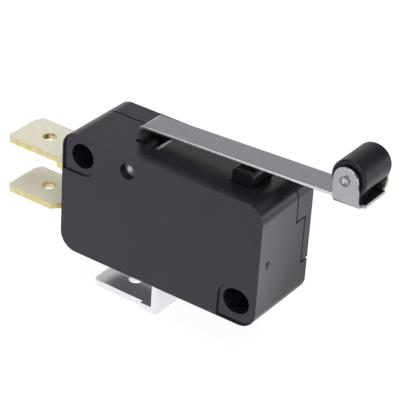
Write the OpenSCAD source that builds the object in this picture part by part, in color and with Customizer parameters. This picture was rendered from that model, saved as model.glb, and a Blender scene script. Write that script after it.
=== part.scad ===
// Miniature snap-action switch with a roller lever, in the common 27.8 x 15.9 x 10.3 mm outline.
// X runs along the body, Y from the front face to the rear face and Z from the base to the plunger.
// The frame's origin is on the axis of the round mounting hole, half way through the body.

/* [Body] */
// Length of the body along X
body_l = 27.8; // [27.4:0.1:29]
// Height of the body along Z
body_h = 15.9; // [15.8:0.1:17]
// Depth of the body, front face to rear face
body_d = 10.3; // [10.2:0.1:11.5]
// Radius of the four upright corners
corner_r = 2.2; // [1.6:0.1:2.4]
// Thickness of the side, top and bottom walls
wall = 1.2; // [1.1:0.05:1.3]
// Thickness of the front wall and of the cover's plate
face_wall = 1.2; // [1:0.05:1.3]
// Depth at which the case ends and the cover starts
parting_y = 7.1; // [7:0.05:7.4]
// Open seam between the case and the cover
seam = 0.15; // [0.1:0.01:0.2]
// Height of the case's full-depth corner, at the slotted hole
corner_block_h = 4.75; // [4.5:0.05:5]
// Length of the case's full-depth corner
corner_block_l = 6.5; // [6:0.1:7]
// Height at which the tongue on the right-hand wall ends
tongue_top = 10.9; // [10:0.1:11.5]
// How far the tongue on the right-hand wall stands behind the parting plane
tongue_d = 1.8; // [1.5:0.1:1.9]

/* [Mounting holes] */
// Diameter of the round mounting hole and width of the slotted one
hole_d = 3.1; // [3:0.05:3.2]
// End-to-end length of the slotted mounting hole
slot_l = 3.5; // [3.3:0.05:3.6]
// Distance from each hole's centre to the two nearest edges
hole_inset = 2.8; // [2.7:0.05:3]
// Wall round the mounting hole inside the body
boss_wall = 1; // [0.8:0.05:1.1]

/* [Pads] */
// Depth of the sunk pad round each mounting hole
pad_depth = 0.25; // [0.15:0.05:0.4]
// Thin lip left between a pad and the body's edge
pad_lip = 0.15; // [0.1:0.05:0.3]
// Side of a pad, measured from the body's edges
pad_side = 5.2; // [5:0.05:5.5]
// Radius of a pad's inner corner
pad_r = 2.4; // [1.5:0.1:2.6]

/* [Lever] */
// Width of the lever's strip
strip_w = 3.5; // [3:0.1:3.7]
// Thickness of the lever's sheet
strip_t = 0.4; // [0.3:0.02:0.44]
// Angle at which the free lever rises from its hinge
lever_tilt = 2.5; // [1.5:0.1:3.5]
// Distance from the round hole's centre to the hinge pin, along X
hinge_run = 6.54; // [6.3:0.01:7]
// Depth of the hinge pin's centre below the body's top
hinge_drop = 2.2; // [2.1:0.05:2.3]
// Height of the strip's upper face above the hinge pin's centre
strip_rise = 4.3; // [4.2:0.05:4.8]
// Outer radius of the bend between the strip and its leg
leg_bend_r = 0.9; // [0.7:0.05:1.1]
// How far the roller's pin stands past the body's right end
roller_overhang = 8.49; // [6:0.01:12]
// Height of the roller pin above the strip's upper face
roller_rise = 2.87; // [2.8:0.01:3.2]
// Length of the lip at the end of the lever's curl
lip_l = 0.55; // [0.4:0.05:0.6]

/* [Roller cradle] */
// Width over the two ears
cradle_w = 6.6; // [6.2:0.1:7]
// Width of an ear along the strip
ear_w = 3.1; // [2.8:0.1:3.4]
// Outer radius of the bend at the foot of an ear
ear_bend_r = 1.2; // [0.9:0.05:1.3]
// How far the strip's end stands past the ears
tail_l = 0.35; // [0.1:0.05:0.6]

/* [Roller] */
// Diameter of the roller
roller_d = 4.3; // [4:0.1:4.6]
// Radius on the roller's two rims
roller_rim_r = 0.3; // [0.1:0.05:0.5]
// Gap between the roller and each ear
roller_gap = 0.14; // [0.1:0.01:0.2]
// Diameter of the roller's pin
roller_pin_d = 1.3; // [1.1:0.05:1.5]
// Radial clearance of a piece that turns on a pin
running = 0.05; // [0.03:0.01:0.08]
// Height of the pin's riveted head
rivet_head_h = 0.12; // [0.05:0.01:0.2]

/* [Hinge pin] */
// Diameter of the hinge pin's shank
hinge_pin_d = 1.2; // [1.1:0.02:1.24]
// Diameter of the hinge pin's head
hinge_head_d = 1.9; // [1.7:0.02:1.94]
// Diameter of the hole that the head sinks into
hinge_hole_d = 2; // [1.96:0.02:2.1]
// Depth of that hole
hinge_hole_depth = 2.2; // [2:0.05:2.4]
// Thickness of the hinge pin's head
hinge_head_t = 0.5; // [0.4:0.05:0.6]

/* [Plunger] */
// Distance from the plunger's centre to the slotted hole's centre, along X
plunger_inset = 2.2; // [2:0.1:2.5]
// Width of the plunger along X
plunger_w = 2.85; // [2.6:0.05:3]
// Depth of the plunger along Y
plunger_d = 3.9; // [3.4:0.05:3.9]
// Gap between the free lever and the plunger's top
lever_gap = 0.44; // [0.4:0.01:0.6]
// Radius of the plunger's two upper edges
plunger_r = 0.75; // [0.5:0.05:1]
// Clearance of a sliding piece in its opening
sliding = 0.12; // [0.08:0.01:0.15]

/* [Terminals] */
// Width of a push-on tab
tab_w = 6.3; // [6:0.1:6.4]
// Thickness of a push-on tab
tab_t = 0.8; // [0.7:0.05:0.85]
// Length of the two side tabs outside the body
tab_l = 10.3; // [9.5:0.1:11.5]
// Diameter of the hole in a tab
tab_hole_d = 1.65; // [1.4:0.05:1.8]
// Distance from a tab's tip to its hole's centre
tab_hole_run = 4.25; // [3.8:0.05:4.6]
// Chamfer at the tip's two corners
tab_chamfer = 0.75; // [0.5:0.05:1]
// Width of a terminal where it passes a wall
neck_w = 3.8; // [3.4:0.1:3.8]
// Length of the coined bevel at a tab's tip
coin_l = 0.7; // [0.5:0.05:1]
// Depth of the coined bevel on each face of a tab
coin_t = 0.2; // [0.1:0.01:0.25]
// Depth of the upper side tab's top face below the body's top
upper_tab_drop = 5.5; // [5.5:0.05:5.8]
// Height of the lower side tab's top face above the base
lower_tab_z = 3.63; // [3.4:0.01:4]
// Length of the upper tab's wide shoulder
shoulder_l = 1.7; // [1.4:0.1:2]
// How far the upper tab's shoulder stands out at each side
shoulder_out = 0.9; // [0.7:0.05:0.95]
// Length over which the lower tab keeps its full width, from its tip
lower_full_l = 7; // [6.8:0.1:7.4]
// Depth of the common tab's top face below the base
common_drop = 4.17; // [4:0.01:5]
// Length of the common tab, from its tip to the leg
common_l = 9.2; // [8.8:0.1:10]
// Distance from the body's left end to the common terminal's leg
common_leg_x = 12.5; // [12.3:0.1:13.2]
// How far the common terminal's leg stands out at each side of the tab
common_out = 0.5; // [0.3:0.05:0.7]
// Length of the wide part of the common tab, next to its leg
common_wide_l = 1.55; // [1:0.05:1.8]
// Clearance between a terminal and the slot that holds it
slot_gap = 0.05; // [0.03:0.01:0.08]

/* [Contacts] */
// Distance from the body's left end to the contacts
contact_x = 4.6; // [4.4:0.1:4.8]
// Radius of the contacts
contact_r = 1.2; // [1:0.05:1.3]
// Height of the fixed contacts
contact_h = 0.7; // [0.5:0.05:0.75]
// Distance between the two fixed contacts
contact_span = 2.4; // [2.35:0.05:2.7]
// Air left on each side of a closed contact
contact_air = 0.06; // [0.05:0.01:0.08]
// Travel of the moving contact
contact_travel = 0.8; // [0.6:0.05:0.8]

/* [Snap mechanism] */
// Distance from the moving arm's pivot to the plunger's centre, along X
pivot_inset = 4.15; // [3.8:0.05:4.4]
// Depth of the moving arm's pivot below the free moving contact
pivot_drop = 0.5; // [0.4:0.05:0.6]
// Distance from the contacts to the spring's hook, along the moving arm
hook_offset = 4.31; // [4:0.01:4.6]
// Thickness of the moving arm
arm_t = 0.3; // [0.25:0.01:0.35]
// Width of the moving arm
arm_w = 4.4; // [4.2:0.1:4.6]
// Distance between the rocker's pivot and the body's right end
rocker_inset = 2.1; // [2:0.05:2.2]
// Height of the rocker's pivot above the arm's pivot
rocker_lift = 0.4; // [0.3:0.05:0.5]
// Thickness of the rocker
rocker_t = 0.4; // [0.35:0.01:0.45]
// Length of the rocker from its pivot to the spring's hook
rocker_l = 4.87; // [4.6:0.01:5]
// Angle at which the free rocker rises towards the spring
rocker_tilt = 9.5; // [9:0.1:10]
// Outer diameter of the tension spring
spring_d = 1.55; // [1.4:0.05:1.6]
// Diameter of the spring's wire
wire_d = 0.25; // [0.2:0.01:0.28]
// Number of turns of the spring
spring_turns = 20; // [12:1:24]

/* [Hidden] */
$fn = 64;

// Shared places, measured from the body's lower left front corner
round_x = hole_inset;
round_z = body_h - hole_inset;
slotted_x = body_l - hole_inset;
slotted_z = hole_inset;
mid_y = body_d / 2;
hinge_x = round_x + hinge_run;
hinge_z = body_h - hinge_drop;
upper_tab_z = body_h - upper_tab_drop;
plunger_x = slotted_x - plunger_inset;
plunger_y0 = parting_y - sliding - plunger_d;
boss_r = hole_d / 2 + boss_wall;
neck_y1 = parting_y - sliding;
neck_y0 = neck_y1 - neck_w;

// Lever: a curl round the hinge pin, a leg, the long strip and the roller cradle
curl_in = hinge_pin_d / 2 + running;
curl_out = curl_in + strip_t;
curl_h = 1.7;
lip_bend_r = 0.6;
strip_y0 = mid_y - strip_w / 2;
leg_x0 = hinge_x - curl_out;
bend_x = leg_bend_r - curl_out;
cradle_y0 = mid_y - cradle_w / 2;
cradle_in = cradle_w - 2 * strip_t;
ear_r = ear_w / 2;
roller_run = (body_l + roller_overhang - hinge_x + (strip_rise + roller_rise) * sin(lever_tilt))
    / cos(lever_tilt);
roller_w = cradle_in - 2 * roller_gap;
roller_bore_d = roller_pin_d + 2 * running;
rivet_over = 0.12;

// Pocket in the top wall for the lever's curl
pocket_side_gap = 0.3;
pocket_y0 = strip_y0 - pocket_side_gap;
pocket_x0 = leg_x0 - pocket_side_gap;
pocket_x1 = hinge_x + curl_out + lip_l + pocket_side_gap;
pocket_floor_gap = 0.18;
pocket_z0 = hinge_z - curl_out - pocket_floor_gap;
pocket_wall = 0.9;

// Plunger: a guided head, a flange that stops it under the top wall and a stem
ceiling_z = body_h - wall;
flange_t = 1;
flange_out = 0.9;
flange_gap = 0.05;
stem_w = 1.2;
plunger_top = hinge_z + (strip_rise - strip_t) / cos(lever_tilt)
    + (plunger_x - hinge_x) * tan(lever_tilt) - lever_gap;
flange_top = ceiling_z - flange_gap;

// Contacts: both fixed ones face the moving one between them
upper_face = upper_tab_z - tab_t - contact_h;
lower_face = upper_face - contact_span;
lower_inner_z = lower_face - contact_h;
moving_h = contact_span - 2 * contact_air - contact_travel;
contact_mid = upper_face - contact_air - moving_h / 2;
contact_margin = 0.6;
rivet_tail_h = 0.2;
rivet_gap = 0.02;

// Moving arm: a forked strip that pivots on the common terminal's two horns
pivot_x = plunger_x - pivot_inset;
pivot_z = contact_mid - pivot_drop;
arm_l = norm([pivot_x - contact_x, pivot_drop]);
arm_tilt = atan2(pivot_drop, pivot_x - contact_x);
arm_end = 1.35;
arm_shoulder = 0.7;
fork_w = 0.8;
knife_r = 0.3;
knife_gap = 0.08;
horn_w = 1.1;
horn_gap = 0.1;
horn_top = pivot_z + 0.8;
hook_run = arm_l - hook_offset;
hook_bar = 0.5;
hook_slot = 0.8;
hook_w = 0.8;

// Rocker: rests under the plunger's stem
rocker_x = body_l - rocker_inset;
rocker_z = pivot_z + rocker_lift;
rocker_w = 3.4;
rocker_gap = 0.08;
stem_reach = rocker_x - plunger_x;
stem_z = rocker_z + stem_reach * tan(rocker_tilt) + rocker_t / 2 / cos(rocker_tilt) + rocker_gap;
seat_r = 0.55;
seat_wall = 0.55;
seat_l = 0.8;
pivot_end_r = 0.45;

// Tension spring: hooked to the arm at one end and to the rocker at the other
spring_r = (spring_d - wire_d) / 2;
hook_a = [pivot_x - hook_run * cos(arm_tilt), pivot_z + hook_run * sin(arm_tilt)];
hook_b = [rocker_x - rocker_l * cos(rocker_tilt), rocker_z + rocker_l * sin(rocker_tilt)];
spring_l = norm(hook_b - hook_a);
spring_tilt = atan2(hook_b.y - hook_a.y, hook_b.x - hook_a.x);
coil_inset = 0.85;
hook_play = 0.2;
hook_inset = spring_r - wire_d / 2 - hook_bar / 2 - hook_play;
spring_sides = 6;
points_per_turn = 10;

// Pegs that line the cover up with the case
peg_d = 1.2;
peg_l = 1.2;
peg_boss_r = 1.25;
peg_inset = 1.1;
pin_boss_r = 1.5;
upper_peg = [pivot_x - 2.65, ceiling_z - peg_inset];
lower_peg = [hinge_x - 0.8, wall + peg_inset];

// Everything is drawn from the body's corner and set down on the middle of the round hole
module in_frame() {
    translate([-round_x, -mid_y, -round_z]) children();
}

// Flat drawing in X and Z, made solid from y0 to y1
module front_to_back(y0, y1) {
    translate([0, y1, 0]) rotate([90, 0, 0]) linear_extrude(y1 - y0) children();
}

module rounded_rect(l, h, r) {
    translate([r, 0]) square([l - 2 * r, h]);
    translate([0, r]) square([l, h - 2 * r]);
    for (x = [r, l - r], y = [r, h - r]) translate([x, y]) circle(r);
}

// Strip with round ends between two points
module bar(p, q, t) {
    translate(p) rotate(atan2(q.y - p.y, q.x - p.x)) {
        translate([0, -t / 2]) square([norm(q - p), t]);
        circle(t / 2, $fn = 24);
        translate([norm(q - p), 0]) circle(t / 2, $fn = 24);
    }
}

// Quarter of a ring, from angle a to a + 90 degrees
module quarter_ring(r_out, r_in, a) {
    rotate(a) intersection() {
        difference() {
            circle(r_out);
            circle(r_in);
        }
        square(r_out);
    }
}

module body_outline(inset = 0) {
    translate([inset, inset])
        rounded_rect(body_l - 2 * inset, body_h - 2 * inset, corner_r - inset);
}

// Part of the body's outline that the case keeps over the full depth, grown by a gap
module corner_outline(gap = 0) {
    r = 1.5 + gap;
    x0 = body_l - corner_block_l - gap;
    z1 = corner_block_h + gap;
    intersection() {
        body_outline();
        union() {
            translate([x0, 0]) square([corner_block_l + gap, z1 - r]);
            translate([x0 + r, 0]) square([corner_block_l + gap - r, z1]);
            translate([x0 + r, z1 - r]) circle(r);
        }
    }
}

module pad_outline() {
    difference() {
        square(pad_side);
        square(pad_r);
    }
    translate([pad_r, pad_r]) circle(pad_r);
}

module slotted_hole() {
    half = (slot_l - hole_d) / 2;
    translate([-half, -hole_d / 2]) square([2 * half, hole_d]);
    for (x = [-half, half]) translate([x, 0]) circle(hole_d / 2);
}

module peg_boss(p, edge_z) {
    translate(p) circle(peg_boss_r);
    translate([p.x - peg_boss_r, min(p.y, edge_z)]) square([2 * peg_boss_r, abs(edge_z - p.y)]);
}

// Solid parts inside the case, seen from the front
module case_solids() {
    translate([round_x, round_z]) circle(boss_r);
    translate([0, round_z]) square([round_x + boss_r, body_h - round_z]);
    translate([0, round_z - boss_r]) square([round_x, boss_r + hole_inset]);
    corner_outline();
    translate([pocket_x0 - pocket_wall, pocket_z0 - pocket_wall])
        square([pocket_x1 - pocket_x0 + 2 * pocket_wall, body_h - pocket_z0]);
    peg_boss(upper_peg, ceiling_z + wall / 2);
    peg_boss(lower_peg, wall / 2);
    translate([rocker_x - seat_l, rocker_z - seat_r - seat_wall])
        square([rocker_inset, 2 * (seat_r + seat_wall)]);
}

module case_cavity() {
    difference() {
        body_outline(wall);
        case_solids();
    }
}

// Opening for a flat terminal in a wall, closed at the rear by the cover
module neck_slot(low, size) {
    translate([low.x - slot_gap, neck_y0 - slot_gap, low.y - slot_gap])
        cube([size.x + 2 * slot_gap, neck_w + 1, size.y + 2 * slot_gap]);
}

module case() {
    color("#3c3c44") in_frame() difference() {
        union() {
            front_to_back(0, parting_y) body_outline();
            front_to_back(parting_y, body_d) corner_outline();
            front_to_back(parting_y, parting_y + tongue_d)
                translate([body_l - wall, corner_block_h - 0.5])
                    square([wall, tongue_top - corner_block_h + 0.5]);
        }
        front_to_back(face_wall, body_d + 1) case_cavity();
        // mounting holes and the pads round them
        front_to_back(-1, body_d + 1) translate([round_x, round_z]) circle(hole_d / 2);
        front_to_back(-1, body_d + 1) translate([slotted_x, slotted_z]) slotted_hole();
        front_to_back(-1, pad_depth) intersection() {
            body_outline(pad_lip);
            union() {
                translate([0, body_h]) mirror([0, 1])
                    translate([pad_side, pad_side]) rotate(180) pad_outline();
                translate([body_l - pad_side, pad_side]) mirror([0, 1]) pad_outline();
            }
        }
        // hinge pin: sunk head, then the shank's bore into the pocket
        front_to_back(-1, hinge_hole_depth) translate([hinge_x, hinge_z]) circle(hinge_hole_d / 2);
        front_to_back(0, pocket_y0 + 1)
            translate([hinge_x, hinge_z]) circle(hinge_pin_d / 2 + 0.02);
        // pocket for the lever's curl
        translate([pocket_x0, pocket_y0, pocket_z0])
            cube([pocket_x1 - pocket_x0, body_d, body_h]);
        // plunger's opening
        translate([plunger_x - plunger_w / 2 - sliding, plunger_y0 - sliding, ceiling_z - 1])
            cube([plunger_w + 2 * sliding, body_d, wall + 2]);
        // terminals
        neck_slot([-1, upper_tab_z - tab_t], [wall + 2, tab_t]);
        neck_slot([-1, lower_tab_z - tab_t], [wall + 2, tab_t]);
        neck_slot([common_leg_x, -1], [tab_t, wall + 2]);
        // seat of the rocker's pivot
        front_to_back(face_wall, parting_y + 1) {
            translate([rocker_x, rocker_z]) circle(seat_r);
            translate([rocker_x - 2 * seat_l, rocker_z - seat_r])
                square([2 * seat_l, 2 * seat_r]);
        }
        // holes for the cover's pegs
        for (p = [upper_peg, lower_peg])
            front_to_back(parting_y - peg_l - 0.2, parting_y + 1)
                translate(p) circle(peg_d / 2 + slot_gap);
    }
}

module cover() {
    rim_y0 = parting_y + seam;
    plate_y0 = body_d - face_wall;
    color("#34343b") in_frame() {
        difference() {
            front_to_back(rim_y0, body_d) difference() {
                body_outline();
                corner_outline(2 * seam);
            }
            // hollow behind the rim
            front_to_back(rim_y0 - 1, plate_y0) difference() {
                body_outline(wall);
                translate([round_x, round_z]) circle(boss_r);
                translate([0, round_z]) square([round_x + boss_r, body_h - round_z]);
                translate([0, round_z - boss_r]) square([round_x, boss_r + hole_inset]);
                corner_outline(2 * seam + wall);
                translate([hinge_x - pin_boss_r, hinge_z - pin_boss_r])
                    square([2 * pin_boss_r, body_h - hinge_z + pin_boss_r]);
                peg_boss(upper_peg, ceiling_z + wall / 2);
                peg_boss(lower_peg, wall / 2);
            }
            // room for the case's tongue
            front_to_back(rim_y0 - 1, parting_y + tongue_d + seam)
                translate([body_l - wall - seam, 0])
                    square([wall + 1, tongue_top + seam]);
            front_to_back(-1, body_d + 1) translate([round_x, round_z]) circle(hole_d / 2);
            // far end of the hinge pin
            front_to_back(0, plate_y0)
                translate([hinge_x, hinge_z]) circle(hinge_pin_d / 2 + 0.02);
        }
        for (p = [upper_peg, lower_peg])
            front_to_back(parting_y - peg_l, rim_y0 + 0.5) translate(p) circle(peg_d / 2);
    }
}

module plunger_outline() {
    w = plunger_w;
    r = plunger_r;
    translate([plunger_x - w / 2, flange_top - flange_t])
        square([w, plunger_top - r - flange_top + flange_t]);
    translate([plunger_x - w / 2 + r, plunger_top - r - 0.1]) square([w - 2 * r, r + 0.1]);
    for (side = [-1, 1])
        translate([plunger_x + side * (w / 2 - r), plunger_top - r]) circle(r);
    translate([plunger_x - w / 2 - flange_out, flange_top - flange_t])
        square([w + 2 * flange_out, flange_t]);
    bar([plunger_x, stem_z + stem_w / 2], [plunger_x, flange_top - flange_t], stem_w);
}

module plunger() {
    color("#26262b") in_frame()
        front_to_back(plunger_y0, plunger_y0 + plunger_d) plunger_outline();
}

// Moves into the lever's frame: the hinge pin is the origin and the strip runs along X
module along_lever() {
    translate([hinge_x, 0, hinge_z]) rotate([0, -lever_tilt, 0]) children();
}

// The lever's bent strip, seen from the front: lip, curl round the pin, leg, bend and arm
module strip_profile() {
    quarter_ring(curl_out, curl_in, 180);
    quarter_ring(curl_out, curl_in, 270);
    translate([-curl_out, 0]) square([strip_t, strip_rise - leg_bend_r]);
    translate([bend_x, strip_rise - leg_bend_r])
        quarter_ring(leg_bend_r, leg_bend_r - strip_t, 90);
    translate([bend_x, strip_rise - strip_t])
        square([roller_run - ear_r - bend_x + 0.1, strip_t]);
    translate([curl_in, 0]) square([strip_t, curl_h - lip_bend_r]);
    translate([curl_in + lip_bend_r, curl_h - lip_bend_r])
        quarter_ring(lip_bend_r, lip_bend_r - strip_t, 90);
    translate([curl_in + lip_bend_r, curl_h - strip_t])
        square([lip_l + strip_t - lip_bend_r, strip_t]);
}

// Channel section of the roller cradle, bent up at both sides
module cradle_section() {
    r = ear_bend_r;
    h = roller_rise + ear_r + 1;
    difference() {
        union() {
            translate([r, -strip_t]) square([cradle_w - 2 * r, h]);
            translate([0, r - strip_t]) square([cradle_w, h - r]);
            for (x = [r, cradle_w - r]) translate([x, r - strip_t]) circle(r);
        }
        translate([r, 0]) square([cradle_w - 2 * r, h]);
        translate([strip_t, r - strip_t]) square([cradle_in, h]);
        for (x = [r, cradle_w - r]) translate([x, r - strip_t]) circle(r - strip_t);
    }
}

module cradle() {
    x0 = roller_run - ear_r;
    intersection() {
        translate([x0, cradle_y0, strip_rise])
            rotate([90, 0, 90]) linear_extrude(ear_w) cradle_section();
        front_to_back(cradle_y0 - 1, cradle_y0 + cradle_w + 1) {
            translate([x0, strip_rise - 1]) square([ear_w, roller_rise + 1]);
            translate([roller_run, strip_rise + roller_rise]) circle(ear_r);
        }
    }
    // tongue of the floor that stands past the ears
    translate([x0, cradle_y0 + ear_bend_r, strip_rise - strip_t])
        cube([ear_w + tail_l, cradle_w - 2 * ear_bend_r, strip_t]);
}

// Moves onto the roller pin's axis, at the lever's front side
module at_roller(y) {
    translate([roller_run, y, strip_rise + roller_rise]) rotate([-90, 0, 0]) children();
}

module lever() {
    color("#8f9094") in_frame() along_lever() difference() {
        union() {
            front_to_back(strip_y0, strip_y0 + strip_w) strip_profile();
            cradle();
        }
        at_roller(cradle_y0 - 1) cylinder(d = roller_pin_d + 0.04, h = cradle_w + 2);
    }
}

module roller_pin() {
    r = roller_pin_d / 2;
    color("#c4c4c8") in_frame() along_lever() at_roller(cradle_y0)
        rotate_extrude() {
            square([r, cradle_w]);
            for (z = [-rivet_head_h, cradle_w])
                translate([0, z]) square([r + rivet_over, rivet_head_h]);
        }
}

module roller() {
    r = roller_rim_r;
    bore = roller_bore_d / 2;
    big = roller_d / 2;
    color("#2a2a2f") in_frame() along_lever() at_roller(cradle_y0 + strip_t + roller_gap)
        rotate_extrude() {
            translate([bore, 0]) square([big - r - bore, roller_w]);
            translate([big - r - 0.1, r]) square([r + 0.1, roller_w - 2 * r]);
            for (y = [r, roller_w - r]) translate([big - r, y]) circle(r, $fn = 32);
        }
}

module hinge_pin() {
    r = hinge_pin_d / 2;
    head_y = hinge_hole_depth - hinge_head_t;
    color("#b9babe") in_frame() translate([hinge_x, 0, hinge_z]) rotate([-90, 0, 0])
        rotate_extrude()
            polygon([[0, head_y], [hinge_head_d / 2 - 0.25, head_y],
                     [hinge_head_d / 2, head_y + 0.25], [hinge_head_d / 2, hinge_hole_depth],
                     [r, hinge_hole_depth], [r, body_d - face_wall - 0.1],
                     [0, body_d - face_wall - 0.1]]);
}

// Push-on tab pointing along -X from the origin, centred on Y: chamfered corners, a coined tip
// and a round hole
module tab(l) {
    w = tab_w / 2;
    c = tab_chamfer;
    intersection() {
        linear_extrude(tab_t) difference() {
            polygon([[0, -w], [0, w], [c - l, w], [-l, w - c], [-l, c - w], [c - l, -w]]);
            translate([tab_hole_run - l, 0]) circle(tab_hole_d / 2);
        }
        front_to_back(-w, w)
            polygon([[0, 0], [0, tab_t], [coin_l - l, tab_t], [-l, tab_t - coin_t],
                     [-l, coin_t], [coin_l - l, 0]]);
    }
}

// Neck through a wall, from x0 to x1
module neck(x0, x1, z_top) {
    translate([x0, neck_y0, z_top - tab_t]) cube([x1 - x0, neck_w, tab_t]);
}

module contact_hole(z0, z1) {
    translate([contact_x, mid_y, z0])
        cylinder(r = contact_r / 2 + rivet_gap, h = z1 - z0, $fn = 32);
}

module upper_terminal() {
    half = tab_w / 2 + shoulder_out;
    color("#d8cf9f") in_frame() difference() {
        union() {
            translate([-shoulder_l, mid_y, upper_tab_z - tab_t]) tab(tab_l - shoulder_l);
            translate([-shoulder_l, mid_y - half, upper_tab_z - tab_t])
                cube([shoulder_l - slot_gap, 2 * half, tab_t]);
            neck(-1, contact_x + contact_r + contact_margin, upper_tab_z);
        }
        contact_hole(upper_tab_z - 2, upper_tab_z + 1);
    }
}

module lower_terminal() {
    taper = (tab_w - neck_w) / 2;
    step_x = wall + 0.4;
    color("#d8cf9f") in_frame() difference() {
        union() {
            translate([lower_full_l - tab_l, mid_y, lower_tab_z - tab_t]) {
                tab(lower_full_l);
                linear_extrude(tab_t)
                    polygon([[0, -tab_w / 2], [taper, -neck_w / 2], [taper, neck_w / 2],
                             [0, tab_w / 2]]);
            }
            neck(lower_full_l - tab_l, step_x + tab_t, lower_tab_z);
            translate([step_x, neck_y0, lower_tab_z - tab_t])
                cube([tab_t, neck_w, lower_inner_z - lower_tab_z + tab_t]);
            neck(step_x, contact_x + contact_r + contact_margin, lower_inner_z);
        }
        contact_hole(lower_inner_z - 2, lower_inner_z + 1);
    }
}

// Vertical sheet between two heights, y0 to y1
module upright(x, y0, y1, z0, z1) {
    translate([x, y0, z0]) cube([tab_t, y1 - y0, z1 - z0]);
}

module common_terminal() {
    leg_w = tab_w + 2 * common_out;
    horn_x = pivot_x + horn_gap;
    horn_y = mid_y - arm_w / 2 - horn_gap;
    run_z = wall + slot_gap;
    color("#cfcfd2") in_frame() difference() {
        union() {
            translate([common_leg_x, mid_y, -common_drop - tab_t]) tab(common_l);
            translate([common_leg_x - common_wide_l, mid_y - leg_w / 2, -common_drop - tab_t])
                cube([common_wide_l + 0.1, leg_w, tab_t]);
            upright(common_leg_x, mid_y - leg_w / 2, mid_y + leg_w / 2,
                    -common_drop - tab_t, -slot_gap);
            upright(common_leg_x, neck_y0, neck_y1, -slot_gap - 1, run_z + tab_t);
            translate([common_leg_x, neck_y0, run_z])
                cube([horn_x + tab_t - common_leg_x, neck_w, tab_t]);
            upright(horn_x, horn_y, horn_y + arm_w + 2 * horn_gap, run_z, horn_top);
        }
        // gap between the horns, for the spring
        translate([horn_x - 1, horn_y + horn_w, pivot_z - 2])
            cube([tab_t + 2, arm_w + 2 * horn_gap - 2 * horn_w, 4]);
        // grooves that the arm's fork pivots in
        front_to_back(0, body_d) translate([pivot_x, pivot_z]) circle(knife_r + knife_gap);
    }
}

// Contact rivet: a head, a shank through the sheet and a flattened tail
module contact_rivet(head_h, sheet_t, tail_h) {
    cylinder(r = contact_r, h = head_h);
    translate([0, 0, -sheet_t - rivet_gap]) cylinder(r = contact_r / 2, h = sheet_t + 0.1);
    translate([0, 0, -sheet_t - tail_h]) cylinder(r = contact_r * 0.75, h = tail_h - rivet_gap);
}

module upper_contact() {
    color("#dcdce0") in_frame() translate([contact_x, mid_y, upper_tab_z - tab_t])
        mirror([0, 0, 1]) contact_rivet(contact_h, tab_t, rivet_tail_h);
}

module lower_contact() {
    color("#dcdce0") in_frame() translate([contact_x, mid_y, lower_inner_z])
        contact_rivet(contact_h, tab_t, rivet_tail_h);
}

// Bar of round or other section along Y, of length l from y on, at x
module along_y(x, y, l) {
    translate([x, y + l, 0]) rotate([90, 0, 0]) linear_extrude(l) children();
}

// Moves into the arm's frame: the pivot is the origin and the arm runs along -X
module along_arm() {
    translate([pivot_x, mid_y, pivot_z]) rotate([0, arm_tilt, 0]) children();
}

module contact_arm() {
    half = arm_w / 2;
    color("#c79a52") in_frame() along_arm() difference() {
        union() {
            translate([-arm_l - arm_end, -half, -arm_t / 2]) cube([arm_l + arm_end, arm_w, arm_t]);
            for (y = [-half, half - fork_w]) along_y(0, y, fork_w) circle(knife_r);
            along_y(-hook_run, -hook_w / 2, hook_w) circle(hook_bar / 2);
        }
        // window between the fork's legs, and the slot for the spring's hook
        translate([-hook_run + hook_bar / 2, -half + fork_w, -1])
            cube([hook_run + 1, arm_w - 2 * fork_w, 2]);
        translate([-hook_run - hook_bar / 2 - hook_slot, -hook_w / 2, -1])
            cube([hook_slot, hook_w, 2]);
        translate([-arm_l, 0, -1]) cylinder(r = contact_r / 2 + rivet_gap, h = 2, $fn = 32);
        // narrow end at the contact
        for (y = [-half - 1, half - arm_shoulder])
            translate([-arm_l - arm_end - 1, y, -1])
                cube([arm_end + 2 * contact_r + 1, arm_shoulder + 1, 2]);
    }
}

module moving_contact() {
    head = (moving_h - arm_t) / 2 - rivet_gap;
    color("#dcdce0") in_frame() along_arm() translate([-arm_l, 0, 0]) {
        for (side = [0, 1]) mirror([0, 0, side])
            translate([0, 0, arm_t / 2 + rivet_gap]) cylinder(r = contact_r, h = head);
        translate([0, 0, -arm_t]) cylinder(r = contact_r / 2, h = 2 * arm_t);
    }
}

module along_rocker() {
    translate([rocker_x, mid_y, rocker_z]) rotate([0, rocker_tilt, 0]) children();
}

module rocker() {
    end = rocker_l + hook_bar / 2;
    color("#b08a4a") in_frame() along_rocker() difference() {
        union() {
            translate([-end, -rocker_w / 2, -rocker_t / 2]) cube([end, rocker_w, rocker_t]);
            along_y(0, -rocker_w / 2, rocker_w) circle(pivot_end_r);
            along_y(-rocker_l, -hook_w / 2, hook_w) circle(hook_bar / 2);
        }
        translate([-rocker_l + hook_bar / 2, -hook_w / 2, -1]) cube([hook_slot, hook_w, 2]);
    }
}

// Spring wire: each point of its path carries the direction away from the coil's axis
function on_coil(t) =
    let (x = coil_inset + (spring_l - 2 * coil_inset) * t, a = 360 * spring_turns * t)
    [[x, spring_r * cos(a), spring_r * sin(a)], [0, cos(a), sin(a)]];
// Rise from the coil's last turn over to the hook, at the right-hand end
function on_rise(a) =
    let (s = (1 - cos(a)) / 2, v = [s, 1 - s, 0.9 * sin(a)], u = v / norm(v),
         x = spring_l - coil_inset + s * (coil_inset - hook_inset))
    [[x, 0, 0] + spring_r * u, u];
function on_hook(a) =
    let (u = [cos(a), 0, -sin(a)]) [[spring_l - hook_inset, 0, 0] + spring_r * u, u];
// The left-hand end is the right-hand one turned half round about Y
function turned(p) = [[spring_l - p[0].x, p[0].y, -p[0].z], [-p[1].x, p[1].y, -p[1].z]];

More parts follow.
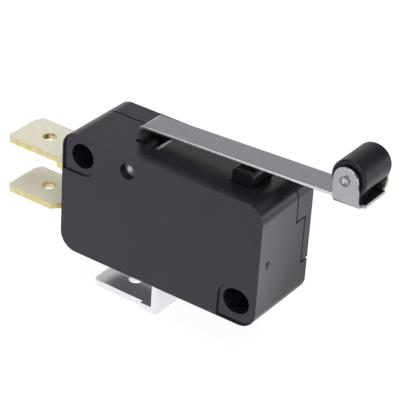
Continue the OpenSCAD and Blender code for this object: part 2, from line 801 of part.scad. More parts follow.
module tension_spring() {
    tail = concat([for (a = [15:15:180]) on_rise(a)], [for (a = [15:15:105]) on_hook(a)]);
    steps = spring_turns * points_per_turn;
    path = concat([for (i = [len(tail) - 1:-1:0]) turned(tail[i])],
                  [for (i = [0:steps]) on_coil(i / steps)], tail);
    n = len(path);
    k = spring_sides;
    rings = [for (i = [0:n - 1])
        let (p = path[i], back = path[max(i - 1, 0)][0], ahead = path[min(i + 1, n - 1)][0],
             t = (ahead - back) / norm(ahead - back),
             v = p[1] - (p[1] * t) * t, u = v / norm(v), w = cross(t, u))
        for (j = [0:k - 1])
            p[0] + wire_d / 2 * (cos(360 * j / k) * u + sin(360 * j / k) * w)];
    sides = [for (i = [0:n - 2], j = [0:k - 1], half = [0, 1])
        let (a = i * k + j, b = i * k + (j + 1) % k)
        half == 0 ? [a, a + k, b + k] : [a, b + k, b]];
    ends = [[for (j = [0:k - 1]) j], [for (j = [k - 1:-1:0]) (n - 1) * k + j]];
    color("#a9abb0") in_frame() translate([hook_a.x, mid_y, hook_a.y])
        rotate([0, -spring_tilt, 0]) polyhedron(rings, concat(sides, ends));
}

case();
cover();
plunger();
lever();
roller();
roller_pin();
hinge_pin();
upper_terminal();
lower_terminal();
common_terminal();
upper_contact();
lower_contact();
contact_arm();
moving_contact();
rocker();
tension_spring();
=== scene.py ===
"""Finishes, softened edges, turned pieces and studio for the lever micro switch."""

import logging
import math
from dataclasses import dataclass
from enum import Enum
from functools import cache
from typing import Any, Callable, Iterable, Optional

import bmesh
import bpy
from mathutils import Matrix, Vector


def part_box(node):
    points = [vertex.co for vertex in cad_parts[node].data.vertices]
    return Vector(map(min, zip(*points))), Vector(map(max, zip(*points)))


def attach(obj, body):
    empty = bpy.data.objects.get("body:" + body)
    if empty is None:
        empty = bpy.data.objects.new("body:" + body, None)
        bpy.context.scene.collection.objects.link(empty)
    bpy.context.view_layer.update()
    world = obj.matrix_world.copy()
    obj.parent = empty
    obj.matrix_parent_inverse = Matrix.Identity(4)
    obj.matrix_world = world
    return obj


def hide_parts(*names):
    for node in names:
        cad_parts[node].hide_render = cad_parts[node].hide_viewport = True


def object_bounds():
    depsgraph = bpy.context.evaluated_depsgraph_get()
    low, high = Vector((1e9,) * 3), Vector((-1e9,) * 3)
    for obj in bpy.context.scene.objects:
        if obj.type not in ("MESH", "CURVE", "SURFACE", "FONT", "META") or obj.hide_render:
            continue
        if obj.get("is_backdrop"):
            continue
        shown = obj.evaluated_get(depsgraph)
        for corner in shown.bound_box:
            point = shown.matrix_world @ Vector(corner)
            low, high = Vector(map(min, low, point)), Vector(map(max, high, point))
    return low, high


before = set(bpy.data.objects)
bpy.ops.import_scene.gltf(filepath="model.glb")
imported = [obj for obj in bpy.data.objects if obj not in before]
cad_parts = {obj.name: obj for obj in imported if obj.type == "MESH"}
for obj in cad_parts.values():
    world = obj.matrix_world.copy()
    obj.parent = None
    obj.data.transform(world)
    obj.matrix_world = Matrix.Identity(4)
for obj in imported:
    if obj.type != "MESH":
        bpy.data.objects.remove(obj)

MM = 0.001
LOG = logging.getLogger("micro_switch")
WELD_MM = 0.0005
TURN_WELD_MM = 0.001
FLAT_DEG = 0.4
SHARP_DEG = 35.0
CREASE_DEG = 38.0
NORMAL_WEIGHT = 60


# ---------------------------------------------------------------- places and colours

@cache
def box_of(node: str) -> tuple[Vector, Vector]:
    """Returns a CAD node's lowest and highest corner in the row frame, in metres."""
    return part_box(node)


def at(x: float, y: float, z: float) -> Vector:
    """Turns a place measured from the body's lower left front corner into the row frame.

    Args:
        x: distance along the body, in mm.
        y: distance from the front face towards the cover, in mm.
        z: height above the base, in mm.

    Returns:
        The same place in the row frame, in metres.
    """
    return box_of("case")[0] + Vector((x, y, z)) * MM


def linear(code: str) -> tuple[float, float, float, float]:
    """Turns an sRGB hex colour into linear light.

    Args:
        code: six hex digits with a leading hash.

    Returns:
        The linear red, green and blue, and an alpha of 1.
    """
    parts = [int(code[i:i + 2], 16) / 255 for i in (1, 3, 5)]
    red, green, blue = (c / 12.92 if c <= 0.04045 else ((c + 0.055) / 1.055) ** 2.4 for c in parts)
    return red, green, blue, 1.0


def per_mm(size: float) -> float:
    """Scale of a procedural pattern whose features are this many millimetres across."""
    return 1.0 / (size * MM)


def add_node(tree: bpy.types.NodeTree, kind: str, settings: Optional[dict] = None,
             links: Optional[dict] = None) -> bpy.types.Node:
    """Adds one shader node with its settings and links.

    Args:
        tree: the node tree that gets the node.
        kind: the node's type name.
        settings: socket names or numbers, or node properties, with their values.
        links: socket names or numbers with the output sockets that feed them.

    Returns:
        The new node.
    """
    node = tree.nodes.new(kind)
    for key, value in (settings or {}).items():
        if isinstance(key, int) or key in node.inputs:
            node.inputs[key].default_value = value
        else:
            setattr(node, key, value)
    for key, source in (links or {}).items():
        tree.links.new(source, node.inputs[key])
    return node


# ---------------------------------------------------------------- finishes

class Lay(Enum):
    """Which way a surface's fine scratches run."""

    ALONG_BODY = (0.06, 1.0, 1.0)
    ACROSS_STRIP = (1.0, 1.0, 0.12)
    EVEN = (1.0, 1.0, 1.0)


@dataclass(frozen=True)
class Finish:
    """What every finish has: a name and a way to start its node tree."""

    name: str

    def start(self) -> tuple[bpy.types.Material, bpy.types.NodeTree, bpy.types.Node, Any]:
        """Starts an empty node material.

        Returns:
            The material, its tree, its shader node and the object coordinates' socket.
        """
        material = bpy.data.materials.new(self.name)
        material.use_nodes = True
        tree = material.node_tree
        tree.nodes.clear()
        shader = add_node(tree, "ShaderNodeBsdfPrincipled")
        add_node(tree, "ShaderNodeOutputMaterial", links={"Surface": shader.outputs[0]})
        place = add_node(tree, "ShaderNodeTexCoord").outputs["Object"]
        return material, tree, shader, place

    def material(self) -> bpy.types.Material:
        """Builds the finish's material; each kind of finish has its own way."""
        raise NotImplementedError


@dataclass(frozen=True)
class MouldedPlastic(Finish):
    """Black glass-filled polyester moulded against spark-eroded steel.

    The eroded mould gives a fine even grain, so the plastic is satin rather than glossy, and
    the melt's flow leaves faint clouds in its blue-black colour.
    """

    dark: str
    light: str
    roughness: float = 0.25
    grain_mm: float = 0.22
    cloud_mm: float = 5.0
    specular: float = 0.5
    dust: float = 0.0
    dust_colour: str = "#8d8d96"
    dust_mm: float = 1.6
    sheen: str = "#eeeeff"
    ior: float = 1.5
    relief_mm: float = 0.012

    def material(self) -> bpy.types.Material:
        """Builds the plastic's material.

        Returns:
            The material, with flow clouds, grain and a few specks of dust.
        """
        material, tree, shader, place = self.start()
        shader.inputs["IOR"].default_value = self.ior
        shader.inputs["Specular IOR Level"].default_value = self.specular
        shader.inputs["Specular Tint"].default_value = linear(self.sheen)
        # drawn at 0.22 mm where the real grain is about 0.05 mm, which would be too fine to show
        grain = add_node(tree, "ShaderNodeTexNoise",
                         {"Scale": per_mm(self.grain_mm), "Detail": 2.0}, {"Vector": place})
        cloud = add_node(tree, "ShaderNodeTexNoise", {"Scale": per_mm(self.cloud_mm), "Detail": 4.0,
                                                      "Roughness": 0.6}, {"Vector": place})
        both = add_node(tree, "ShaderNodeMix", {"data_type": "FLOAT", 0: 0.35},
                        {2: cloud.outputs["Fac"], 3: grain.outputs["Fac"]})
        shade = add_node(tree, "ShaderNodeMapRange", {"From Min": 0.3, "From Max": 0.7},
                         {"Value": both.outputs[0]})
        colour = add_node(tree, "ShaderNodeMix", {"data_type": "RGBA", 6: linear(self.dark),
                                                  7: linear(self.light)}, {0: shade.outputs[0]})
        base = colour.outputs[2]
        if self.dust:
            # settled dust and tiny scuffs, a fraction of a millimetre across and far apart
            cells = add_node(tree, "ShaderNodeTexVoronoi", {"Scale": per_mm(self.dust_mm)},
                             {"Vector": place})
            speck = add_node(tree, "ShaderNodeMapRange", {"From Min": 0.05, "From Max": 0.02,
                                                          "To Max": self.dust},
                             {"Value": cells.outputs["Distance"]})
            base = add_node(tree, "ShaderNodeMix",
                            {"data_type": "RGBA", 7: linear(self.dust_colour)},
                            {0: speck.outputs[0], 6: base}).outputs[2]
        tree.links.new(base, shader.inputs["Base Color"])
        satin = add_node(tree, "ShaderNodeMapRange", {"To Min": self.roughness - 0.06,
                                                      "To Max": self.roughness + 0.08},
                         {"Value": both.outputs[0]})
        tree.links.new(satin.outputs[0], shader.inputs["Roughness"])
        relief = add_node(tree, "ShaderNodeBump",
                          {"Strength": 0.35, "Distance": self.relief_mm * MM},
                          {"Height": grain.outputs["Fac"]})
        tree.links.new(relief.outputs[0], shader.inputs["Normal"])
        return material


@dataclass(frozen=True)
class RolledMetal(Finish):
    """Rolled strip: long faint streaks in the rolling direction and a slight mottle.

    The rolls press a matt lay into the strip, so it mirrors only broad light and dark. Where
    bare is below 1, a dull film on the metal scatters the rest of the light.
    """

    dark: str
    light: str
    roughness: float = 0.35
    streak_mm: float = 0.25
    mottle_mm: float = 0.7
    lay: Lay = Lay.ALONG_BODY
    relief_mm: float = 0.004
    sheen_spread: float = 0.08
    bare: float = 1.0

    def material(self) -> bpy.types.Material:
        """Builds the strip's material.

        Returns:
            The material, with streaks, mottle and fine relief.
        """
        material, tree, shader, place = self.start()
        shader.inputs["Metallic"].default_value = self.bare
        turned = add_node(tree, "ShaderNodeMapping", {"Scale": self.lay.value}, {"Vector": place})
        streak = add_node(tree, "ShaderNodeTexNoise",
                          {"Scale": per_mm(self.streak_mm), "Detail": 3.0},
                          {"Vector": turned.outputs[0]})
        mottle = add_node(tree, "ShaderNodeTexNoise",
                          {"Scale": per_mm(self.mottle_mm), "Detail": 3.0}, {"Vector": place})
        both = add_node(tree, "ShaderNodeMix", {"data_type": "FLOAT", 0: 0.5},
                        {2: streak.outputs["Fac"], 3: mottle.outputs["Fac"]})
        shade = add_node(tree, "ShaderNodeMapRange", {"From Min": 0.3, "From Max": 0.7},
                         {"Value": both.outputs[0]})
        colour = add_node(tree, "ShaderNodeMix", {"data_type": "RGBA", 6: linear(self.dark),
                                                  7: linear(self.light)}, {0: shade.outputs[0]})
        tree.links.new(colour.outputs[2], shader.inputs["Base Color"])
        satin = add_node(tree, "ShaderNodeMapRange", {"To Min": self.roughness - self.sheen_spread,
                                                      "To Max": self.roughness + self.sheen_spread},
                         {"Value": both.outputs[0]})
        tree.links.new(satin.outputs[0], shader.inputs["Roughness"])
        relief = add_node(tree, "ShaderNodeBump",
                          {"Strength": 0.5, "Distance": self.relief_mm * MM},
                          {"Height": streak.outputs["Fac"]})
        tree.links.new(relief.outputs[0], shader.inputs["Normal"])
        return material


# ---------------------------------------------------------------- mesh work

Pick = Callable[[bmesh.types.BMEdge], bool]


def merged(node: str) -> bmesh.types.BMesh:
    """Copies a CAD node's mesh, joins its loose triangles and makes its flat faces whole.

    Args:
        node: the CAD node's name.

    Returns:
        The copy, in the row frame.
    """
    bm = bmesh.new()
    bm.from_mesh(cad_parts[node].data)
    bmesh.ops.remove_doubles(bm, verts=bm.verts, dist=WELD_MM * MM)
    bmesh.ops.dissolve_limit(bm, angle_limit=math.radians(FLAT_DEG), verts=bm.verts, edges=bm.edges)
    return bm


def soften(bm: bmesh.types.BMesh, width: float, segments: int, pick: Optional[Pick] = None,
           least: float = SHARP_DEG) -> None:
    """Rounds the sharp edges of a mesh.

    Args:
        bm: the mesh.
        width: how far the rounding reaches, in mm.
        segments: faces across the rounding.
        pick: says whether an edge is rounded; every sharp edge is when it is left out.
        least: the smallest angle that counts as sharp, in degrees.
    """
    edges = [e for e in bm.edges
             if e.is_manifold and e.calc_face_angle(0.0) > math.radians(least)
             and (pick is None or pick(e))]
    bmesh.ops.bevel(bm, geom=edges, offset=width * MM, offset_type="OFFSET", segments=segments,
                    profile=0.5, affect="EDGES", clamp_overlap=True, material=-1,
                    loop_slide=True)


def paint(bm: bmesh.types.BMesh, index: int, pick: Callable[[bmesh.types.BMFace], bool]) -> None:
    """Gives some faces of a mesh another of its materials.

    Args:
        bm: the mesh.
        index: the material's place in the piece's list.
        pick: says whether a face gets it.
    """
    for face in bm.faces:
        if pick(face):
            face.material_index = index


def hand_over(bm: bmesh.types.BMesh, name: str, body: str,
              finishes: Iterable[bpy.types.Material],
              stands_for: Iterable[str] = ()) -> bpy.types.Object:
    """Makes a finished piece of a mesh: shaded, coloured, riding on its body and named.

    Args:
        bm: the mesh, in the row frame; it is freed.
        name: the piece's name.
        body: the CAD body it moves with.
        finishes: its materials, in the order of the faces' material numbers.
        stands_for: the CAD nodes that it replaces.

    Returns:
        The piece.
    """
    bm.normal_update()
    for face in bm.faces:
        face.smooth = True
    for edge in bm.edges:
        edge.smooth = (edge.is_manifold
                       and edge.calc_face_angle(0.0) < math.radians(CREASE_DEG))
    mesh = bpy.data.meshes.new(name)
    bm.to_mesh(mesh)
    bm.free()
    piece = bpy.data.objects.new(name, mesh)
    bpy.context.scene.collection.objects.link(piece)
    for finish in finishes:
        mesh.materials.append(finish)
    weighted = piece.modifiers.new("weighted", "WEIGHTED_NORMAL")
    weighted.keep_sharp = True
    weighted.weight = NORMAL_WEIGHT
    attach(piece, body)
    if stands_for:
        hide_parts(*stands_for)
    LOG.info("%s: %d faces on %s", name, len(mesh.polygons), body)
    return piece


def dress(node: str, finish: bpy.types.Material) -> None:
    """Gives a CAD node, left as it is, its finish.

    Args:
        node: the CAD node's name.
        finish: the material.
    """
    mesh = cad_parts[node].data
    mesh.materials.clear()
    mesh.materials.append(finish)
    LOG.info("%s: keeps its CAD shape, finish %s", node, finish.name)


# ---------------------------------------------------------------- studio

@dataclass(frozen=True)
class SoftBox:
    """One square lamp: where it stands from the switch's middle and its side, in metres."""

    name: str
    place: tuple[float, float, float]
    side: float
    watts: float


@dataclass
class Studio:
    """Floor, lamps, world and camera."""

    azimuth: float = 33.54
    elevation: float = 30.86
    roll: float = 3.78
    distance_mm: float = 220.0
    lens_mm: float = 171.9
    shift_mm: tuple[float, float] = (1.86, 1.26)
    floor_mm: float = 3000.0
    floor_glow: float = 0.93
    # painted light: these set a painted pool of light on the floor, brighter to the right, with a
    # painted shadow, seen only by mirrored rays
    pool_slope: tuple[float, float, float] = (0.26, -0.12, 0.0)
    pool_range: tuple[float, float] = (3.9, 5.5)
    pool_far: tuple[float, float] = (5.6, 6.4)
    pool_glow: tuple[float, float] = (0.55, 2.6)
    pool_dim: float = 0.3
    pool_start_mm: float = 8.0
    floor_colour: str = "#f2f2f2"
    shadow_share: float = 0.14
    horizon: tuple[float, float] = (0.12, 0.3)
    sky: tuple[float, float] = (1.0, 0.1)
    air_colour: str = "#f4f6ff"
    air: float = 0.45
    lamps: tuple[SoftBox, ...] = (
        SoftBox("key", (0.10, 0.00, 0.62), 0.60, 2.2),
        SoftBox("back", (-0.36, 0.52, 0.36), 0.50, 0.38),
        SoftBox("rim", (0.34, 0.40, 0.00), 0.22, 0.15),
        SoftBox("fill", (-0.42, -0.60, 0.14), 0.35, 0.50),
        SoftBox("front", (0.28, -0.42, 0.30), 0.50, 1.0),
    )

    def build(self) -> None:
        """Builds the whole studio."""
        self.camera()
        self.floor()
        self.world()
        for box in self.lamps:
            self.lamp(box)
        bpy.context.scene.view_settings.view_transform = "Standard"

    def aim(self) -> Vector:
        """Returns the middle of the switch's body."""
        low, high = box_of("case")[0], box_of("cover")[1]
        return (low + high) / 2

    def camera(self) -> None:
        """Puts the camera in front of the switch, to its right and above it."""
        turn, tilt, roll = (math.radians(a) for a in (self.azimuth, self.elevation, self.roll))
        back = Vector((math.sin(turn) * math.cos(tilt), -math.cos(turn) * math.cos(tilt),
                       math.sin(tilt)))
        right = Vector((math.cos(turn), math.sin(turn), 0.0))
        up = back.cross(right)
        across = right * math.cos(roll) + up * math.sin(roll)
        upward = up * math.cos(roll) - right * math.sin(roll)
        place = (self.aim() + (across * self.shift_mm[0] + upward * self.shift_mm[1]
                               + back * self.distance_mm) * MM)
        data = bpy.data.cameras.new("camera")
        data.lens = self.lens_mm
        data.sensor_width = 36.0
        data.clip_start = 0.01
        data.clip_end = 10.0
        camera = bpy.data.objects.new("camera", data)
        turned = Matrix((across, upward, back)).transposed().to_4x4()
        camera.matrix_world = Matrix.Translation(place) @ turned
        bpy.context.scene.collection.objects.link(camera)
        bpy.context.scene.camera = camera

    def seen(self, tree: bpy.types.NodeTree) -> Any:
        """Adds the test for rays that see the backdrop: straight, mirrored or through glass."""
        path = add_node(tree, "ShaderNodeLightPath")
        shiny = add_node(tree, "ShaderNodeMath", {"operation": "MAXIMUM"},
                         {0: path.outputs["Is Camera Ray"], 1: path.outputs["Is Glossy Ray"]})
        return add_node(tree, "ShaderNodeMath", {"operation": "MAXIMUM"},
                        {0: shiny.outputs[0], 1: path.outputs["Is Transmission Ray"]}).outputs[0]

    def pool(self, tree: bpy.types.NodeTree) -> Any:
        """Adds the floor's glow: even for the camera, and a painted pool of light for mirrored
        rays.

        Mirrored in the satin plastic, the painted glow, brighter to the right, makes the right-hand
        end brighter towards the front and towards the top; a painted shadow in it, standing in for
        the switch's own shadow, darkens the end close to the floor.

        Args:
            tree: the floor's node tree.

        Returns:
            The output that carries the glow's strength.
        """
        spot = add_node(tree, "ShaderNodeNewGeometry").outputs["Position"]
        off = add_node(tree, "ShaderNodeVectorMath", {"operation": "SUBTRACT", 1: self.aim()},
                       {0: spot})
        slope = add_node(tree, "ShaderNodeVectorMath", {"operation": "DOT_PRODUCT",
                                                        1: Vector(self.pool_slope) / MM},
                         {0: off.outputs[0]}).outputs["Value"]
        # painted light and painted shadow: an emission that rises to the right and fades far away,
        # cast by no lamp
        painted_glow = add_node(tree, "ShaderNodeMapRange", {"From Min": self.pool_range[0],
                                                    "From Max": self.pool_range[1],
                                                    "To Min": self.pool_glow[0],
                                                    "To Max": self.pool_glow[1]}, {"Value": slope})
        far = add_node(tree, "ShaderNodeMapRange", {"From Min": self.pool_far[0],
                                                    "From Max": self.pool_far[1], "To Min": 1.0,
                                                    "To Max": self.pool_dim}, {"Value": slope})
        painted_glow = add_node(tree, "ShaderNodeMath", {"operation": "MULTIPLY"},
                       {0: painted_glow.outputs[0], 1: far.outputs[0]})
        depth = add_node(tree, "ShaderNodeSeparateXYZ", links={0: off.outputs[0]}).outputs["Y"]
        behind = add_node(tree, "ShaderNodeMapRange", {"From Max": self.pool_start_mm * MM},
                          {"Value": depth})
        path = add_node(tree, "ShaderNodeLightPath").outputs["Is Glossy Ray"]
        part = add_node(tree, "ShaderNodeMath", {"operation": "MULTIPLY"},
                        {0: behind.outputs[0], 1: path})
        return add_node(tree, "ShaderNodeMix", {"data_type": "FLOAT", 2: self.floor_glow},
                        {0: part.outputs[0], 3: painted_glow.outputs[0]}).outputs[0]

    def floor(self) -> None:
        """Lays a plain white floor under the lowest tab; it keeps the switch's shadow."""
        bm = bmesh.new()
        bmesh.ops.create_grid(bm, x_segments=1, y_segments=1, size=self.floor_mm * MM / 2)
        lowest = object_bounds()[0].z
        bmesh.ops.translate(bm, vec=(self.aim().x, self.aim().y, lowest), verts=bm.verts)
        mesh = bpy.data.meshes.new("floor")
        bm.to_mesh(mesh)
        bm.free()
        material = bpy.data.materials.new("white_sweep")
        material.use_nodes = True
        tree = material.node_tree
        tree.nodes.clear()
        matt = add_node(tree, "ShaderNodeBsdfDiffuse", {"Color": linear(self.floor_colour)})
        # for mirrored rays behind the switch this glow carries the painted pool of light and
        # painted shadow
        glow = add_node(tree, "ShaderNodeEmission", {"Color": (1, 1, 1, 1)},
                        {"Strength": self.pool(tree)})
        thin = add_node(tree, "ShaderNodeBsdfDiffuse", {"Color": (self.shadow_share,) * 3 + (1,)})
        shown = add_node(tree, "ShaderNodeAddShader",
                         links={0: glow.outputs[0], 1: thin.outputs[0]})
        mixed = add_node(tree, "ShaderNodeMixShader", links={0: self.seen(tree), 1: matt.outputs[0],
                                                             2: shown.outputs[0]})
        add_node(tree, "ShaderNodeOutputMaterial", links={"Surface": mixed.outputs[0]})
        mesh.materials.append(material)
        floor = bpy.data.objects.new("floor", mesh)
        bpy.context.scene.collection.objects.link(floor)
        floor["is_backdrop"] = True

    def world(self) -> None:
        """Lights the world softly: white at the horizon, dimmer higher up."""
        world = bpy.data.worlds.new("studio")
        bpy.context.scene.world = world
        world.use_nodes = True
        tree = world.node_tree
        tree.nodes.clear()
        place = add_node(tree, "ShaderNodeTexCoord").outputs["Generated"]
        height = add_node(tree, "ShaderNodeSeparateXYZ", links={0: place}).outputs["Z"]
        fade = add_node(tree, "ShaderNodeMapRange", {"From Min": self.horizon[0],
                                                     "From Max": self.horizon[1],
                                                     "To Min": self.sky[0],
                                                     "To Max": self.sky[1]}, {"Value": height})
        sweep = add_node(tree, "ShaderNodeBackground", {"Color": (1, 1, 1, 1)},
                         {"Strength": fade.outputs[0]})
        fill = add_node(tree, "ShaderNodeBackground", {"Color": linear(self.air_colour),
                                                        "Strength": self.air})
        mixed = add_node(tree, "ShaderNodeMixShader", links={0: self.seen(tree), 1: fill.outputs[0],
                                                             2: sweep.outputs[0]})
        add_node(tree, "ShaderNodeOutputWorld", links={"Surface": mixed.outputs[0]})

    def lamp(self, box: SoftBox) -> None:
        """Adds one soft square lamp that faces the switch."""
        data = bpy.data.lights.new(box.name, "AREA")
        data.size = box.side
        data.energy = box.watts
        lamp = bpy.data.objects.new(box.name, data)
        lamp.visible_camera = False
        away = Vector(box.place)
        lamp.matrix_world = (Matrix.Translation(self.aim() + away)
                             @ away.to_track_quat("Z", "Y").to_matrix().to_4x4())
        bpy.context.scene.collection.objects.link(lamp)


# ---------------------------------------------------------------- the switch

@dataclass
class Housing:
    """Case and cover of black moulded plastic, with the torn stub of the mould's gate."""

    length: float = 27.8
    fine_mm: float = 0.05
    seam_mm: float = 0.08
    seam_y: tuple[float, float] = (6.8, 9.4)
    skin_mm: float = 0.02
    rim_mm: float = 0.7
    level: float = 0.02
    upright: float = 0.9
    gate_at: tuple[float, float] = (1.75, 7.95)
    gate_size: tuple[float, float, float] = (0.30, 0.70, 1.10)
    gate_tilt: float = 24.0
    gate_wave: tuple[float, float, float] = (0.45, 9.0, 5.0)
    gate_sway: tuple[float, float] = (0.10, 6.0)
    plastic: MouldedPlastic = MouldedPlastic("moulded_polyester", "#141419", "#1c1c24", dust=0.25)
    lid_plastic: MouldedPlastic = MouldedPlastic("moulded_polyester_cover", "#15151a", "#1d1d24")

    def build(self) -> None:
        """Builds and dresses the case and the cover."""
        case, cover = self.plastic.material(), self.lid_plastic.material()
        for node, finish in (("case", case), ("cover", cover)):
            bm = merged(node)
            soften(bm, self.seam_mm, 2, self.at_seam)
            soften(bm, self.fine_mm, 2)
            hand_over(bm, f"{node}_moulding", "housing", [finish], [node])
        self.gate_mark(case)

    def at_seam(self, edge: bmesh.types.BMEdge) -> bool:
        """Says whether an edge runs along the outside of the joint between case and cover."""
        low, high = box_of("case")[0], box_of("cover")[1]
        mid = (edge.verts[0].co + edge.verts[1].co) / 2
        depth = (mid.y - low.y) / MM
        skin = min(mid.x - low.x, high.x - mid.x, high.z - mid.z) / MM
        square = all(face.normal.y ** 2 < self.level or abs(face.normal.y) > self.upright
                     for face in edge.link_faces)
        outside = skin < self.skin_mm or square and skin < self.rim_mm
        return outside and self.seam_y[0] < depth < self.seam_y[1]

    def gate_mark(self, finish: bpy.types.Material) -> None:
        """Leaves the torn stub of the mould's gate, a low ragged bump, on the right-hand end."""
        swell, along, across = self.gate_wave
        shift, pace = self.gate_sway
        bm = bmesh.new()
        bmesh.ops.create_icosphere(bm, subdivisions=3, radius=0.5)
        bmesh.ops.scale(bm, vec=Vector(self.gate_size) * MM, verts=bm.verts)
        for vert in bm.verts:
            wave = math.sin(vert.co.z / MM * along + vert.co.y / MM * across)
            vert.co.x *= 1.0 + swell * wave
            vert.co.y += shift * MM * math.sin(vert.co.z / MM * pace)
        bmesh.ops.rotate(bm, cent=(0, 0, 0), verts=bm.verts,
                         matrix=Matrix.Rotation(math.radians(self.gate_tilt), 3, "X"))
        bmesh.ops.translate(bm, vec=at(self.length, *self.gate_at), verts=bm.verts)
        hand_over(bm, "gate_stub", "housing", [finish])


@dataclass
class Button:
    """The plunger under the lever."""

    edge_mm: float = 0.12
    plastic: MouldedPlastic = MouldedPlastic("moulded_acetal", "#121216", "#1a1a1e", roughness=0.25,
                                             specular=0.4)

    def build(self) -> None:
        """Builds and dresses the plunger."""
        bm = merged("plunger")
        soften(bm, self.edge_mm, 3)
        hand_over(bm, "plunger_button", "button", [self.plastic.material()],
                  ["plunger"])


@dataclass
class LeverArm:
    """The stamped steel lever with its roller, the roller's rivet and the hinge pin."""

    edge_mm: float = 0.06
    turn_steps: int = 96
    hinge_r: float = 0.6
    head_t: float = 0.5
    roller_bore_r: float = 0.7
    rim_r: float = 0.3
    half_w: float = 3.3
    strip_half_w: float = 1.75
    ear_in: float = 2.95
    side_on: float = 0.95
    edge_on: float = 0.05
    near_mm: float = 0.05
    dimple: tuple[tuple[float, float], ...] = ((0.0, 0.30), (0.14, 0.26), (0.30, 0.12),
                                               (0.42, 0.03), (0.50, 0.30), (0.60, 0.30))
    rivet_lip: tuple[tuple[float, float], ...] = ((-0.08, 0.05), (0.0, 0.09), (0.0, 0.12))
    rivet_neck: tuple[float, float] = (0.64, 0.12)
    cup: tuple[tuple[float, float], ...] = ((0.0, -0.25), (0.35, -0.29), (0.65, -0.42),
                                            (0.85, -0.60), (0.94, -0.75), (0.99, -0.75),
                                            (1.0, -0.65))
    pin_chamfer: float = 0.1
    hub: tuple[tuple[float, float], ...] = ((0.0, 0.08), (0.06, 0.0), (0.35, 0.0), (0.42, 0.10))
    ring: tuple[tuple[float, float], ...] = ((-0.10, 0.10), (-0.03, 0.0))
    rim_steps: int = 6
    strip: RolledMetal = RolledMetal("rolled_spring_steel", "#a3a3a9", "#adadb3", roughness=0.25,
                                     relief_mm=0.0003, sheen_spread=0.03)
    sheared: RolledMetal = RolledMetal("sheared_steel_edge", "#c2c2c5", "#d8d8da", roughness=0.2,
                                       sheen_spread=0.03, relief_mm=0.001, streak_mm=0.12,
                                       lay=Lay.ACROSS_STRIP)
    pin: RolledMetal = RolledMetal("drawn_pin_steel", "#a9a9ac", "#c6c6c9", roughness=0.3,
                                   bare=0.7, lay=Lay.EVEN)
    nylon: MouldedPlastic = MouldedPlastic("turned_black_nylon", "#121216", "#1a1a1f",
                                           roughness=0.4, specular=0.38)

    def is_sheared(self, face: bmesh.types.BMFace) -> bool:
        """Says whether a face of the lever is a cut edge of the strip or of an ear."""
        off = abs(face.calc_center_median().y - box_of("lever")[0].y - self.half_w * MM)
        if abs(face.normal.y) > self.side_on:
            return abs(off - self.strip_half_w * MM) < self.near_mm * MM
        return off > self.ear_in * MM and abs(face.normal.y) < self.edge_on

    def build(self) -> None:
        """Builds and dresses the lever, its pin, the roller and the hinge pin."""
        bm = merged("lever")
        paint(bm, 1, self.is_sheared)
        soften(bm, self.edge_mm, 2)
        hand_over(bm, "lever_strip", "lever_arm",
                  [self.strip.material(), self.sheared.material()], ["lever"])
        pin = self.pin.material()
        self.roller_pin(pin)
        self.hinge_pin(pin)
        self.roller()

    def turned(self, node: str, profile: list[tuple[float, float]]) -> bmesh.types.BMesh:
        """Spins a profile round a CAD node's axis, which runs along Y.

        Args:
            node: the CAD node whose box gives the axis.
            profile: radius and distance along Y, in mm, from the node's front end.

        Returns:
            The closed turned shape, in the row frame.
        """
        low, high = box_of(node)
        axis = Vector(((low.x + high.x) / 2, low.y, (low.z + high.z) / 2))
        bm = bmesh.new()
        verts = [bm.verts.new(axis + Vector((r, y, 0)) * MM) for r, y in profile]
        edges = [bm.edges.new(pair) for pair in zip(verts, verts[1:])]
        bmesh.ops.spin(bm, geom=verts + edges, cent=axis, axis=(0, 1, 0), angle=2 * math.pi,
                       steps=self.turn_steps, use_merge=True, use_duplicate=False)
        bmesh.ops.remove_doubles(bm, verts=bm.verts, dist=TURN_WELD_MM * MM)
        bmesh.ops.recalc_face_normals(bm, faces=bm.faces)
        return bm

    def roller_pin(self, pin: bpy.types.Material) -> None:
        """Turns the roller's pin: a punched dimple and a dark ring at each riveted end."""
        low, high = box_of("roller_pin")
        length, r = (high.y - low.y) / MM, (high.x - low.x) / 2 / MM
        end = [*self.dimple, *((r + a, b) for a, b in self.rivet_lip), self.rivet_neck]
        profile = end + [(a, length - b) for a, b in reversed(end)]
        hand_over(self.turned("roller_pin", profile), "roller_rivet", "lever_arm",
                  [pin], ["roller_pin"])

    def hinge_pin(self, pin: bpy.types.Material) -> None:
        """Turns the lever's hinge pin, whose cupped head shows at the bottom of its hole."""
        low, high = box_of("hinge_pin")
        length, head, shank = (high.y - low.y) / MM, (high.x - low.x) / 2 / MM, self.hinge_r
        profile = [*((head * a, b) for a, b in self.cup), (head, self.head_t),
                   (shank, self.head_t), (shank, length - self.pin_chamfer),
                   (shank - self.pin_chamfer, length), (0.0, length)]
        hand_over(self.turned("hinge_pin", profile), "hinge_rivet", "housing", [pin],
                  ["hinge_pin"])

    def roller(self) -> None:
        """Turns the roller, with its rounded rims and a shallow ring in each end."""
        low, high = box_of("roller")
        width, r, bore = (high.y - low.y) / MM, (high.x - low.x) / 2 / MM, self.roller_bore_r
        turns = [math.radians(90 * step / self.rim_steps) for step in range(self.rim_steps + 1)]
        rim = [(r - self.rim_r * (1 - math.sin(a)), self.rim_r * (1 - math.cos(a)))
               for a in turns]
        end = [*((bore + a, b) for a, b in self.hub),
               *((r - self.rim_r + a, b) for a, b in self.ring), *rim]
        profile = end + [(a, width - b) for a, b in reversed(end)]
        bm = self.turned("roller", profile + profile[:1])
        hand_over(bm, "roller_wheel_turned", "roller_wheel",
                  [self.nylon.material()], ["roller"])


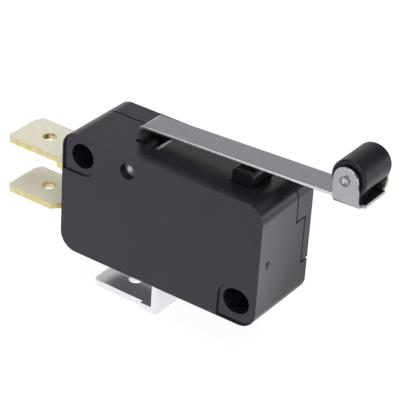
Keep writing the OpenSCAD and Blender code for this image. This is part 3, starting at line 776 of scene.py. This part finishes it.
@dataclass
class Terminals:
    """The two brass side tabs and the plated common tab."""

    edge_mm: float = 0.06
    brass: RolledMetal = RolledMetal("rolled_brass", "#efe9cd", "#f6f2de", roughness=0.5,
                                     mottle_mm=0.5, bare=0.42)
    brass_edge: RolledMetal = RolledMetal("sheared_brass_edge", "#d0bd7c", "#e6dcae",
                                          roughness=0.36, streak_mm=0.2, lay=Lay.ACROSS_STRIP)
    tin: RolledMetal = RolledMetal("bright_tin_plate", "#ececf0", "#f8f8fb", roughness=0.16,
                                   bare=0.8, mottle_mm=2.0, relief_mm=0.0005, lay=Lay.EVEN)

    def build(self) -> None:
        """Builds and dresses the three tabs."""
        brass, edge, tin = self.brass.material(), self.brass_edge.material(), self.tin.material()
        for node in ("upper_terminal", "lower_terminal"):
            bm = merged(node)
            paint(bm, 1, lambda f: abs(f.normal.z) < 0.5)
            soften(bm, self.edge_mm, 2)
            hand_over(bm, f"{node}_tab", "housing", [brass, edge], [node])
        bm = merged("common_terminal")
        soften(bm, self.edge_mm, 2)
        hand_over(bm, "common_terminal_tab", "housing", [tin], ["common_terminal"])


@dataclass
class SnapMechanism:
    """The contacts, arm, rocker and spring inside the body, with their plain finishes."""

    silver: RolledMetal = RolledMetal("coined_contact_silver", "#d5d5d9", "#e6e6ea", roughness=0.3,
                                      lay=Lay.EVEN)
    copper: RolledMetal = RolledMetal("rolled_spring_copper", "#b98f52", "#cda565", roughness=0.34)
    wire: RolledMetal = RolledMetal("drawn_spring_wire", "#9b9da1", "#b4b6ba", roughness=0.28,
                                    lay=Lay.EVEN)

    def build(self) -> None:
        """Dresses the six inner pieces."""
        silver, copper, wire = (f.material() for f in (self.silver, self.copper, self.wire))
        for node in ("upper_contact", "lower_contact", "moving_contact"):
            dress(node, silver)
        for node in ("contact_arm", "rocker"):
            dress(node, copper)
        dress("tension_spring", wire)


def main() -> None:
    """Builds the studio and the switch."""
    logging.basicConfig(level=logging.INFO, format="%(name)s: %(message)s")
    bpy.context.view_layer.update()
    for part in (Studio(), Housing(), Button(), LeverArm(), Terminals(), SnapMechanism()):
        part.build()
        LOG.info("built %s", type(part).__name__)


if __name__ == "__main__":
    main()
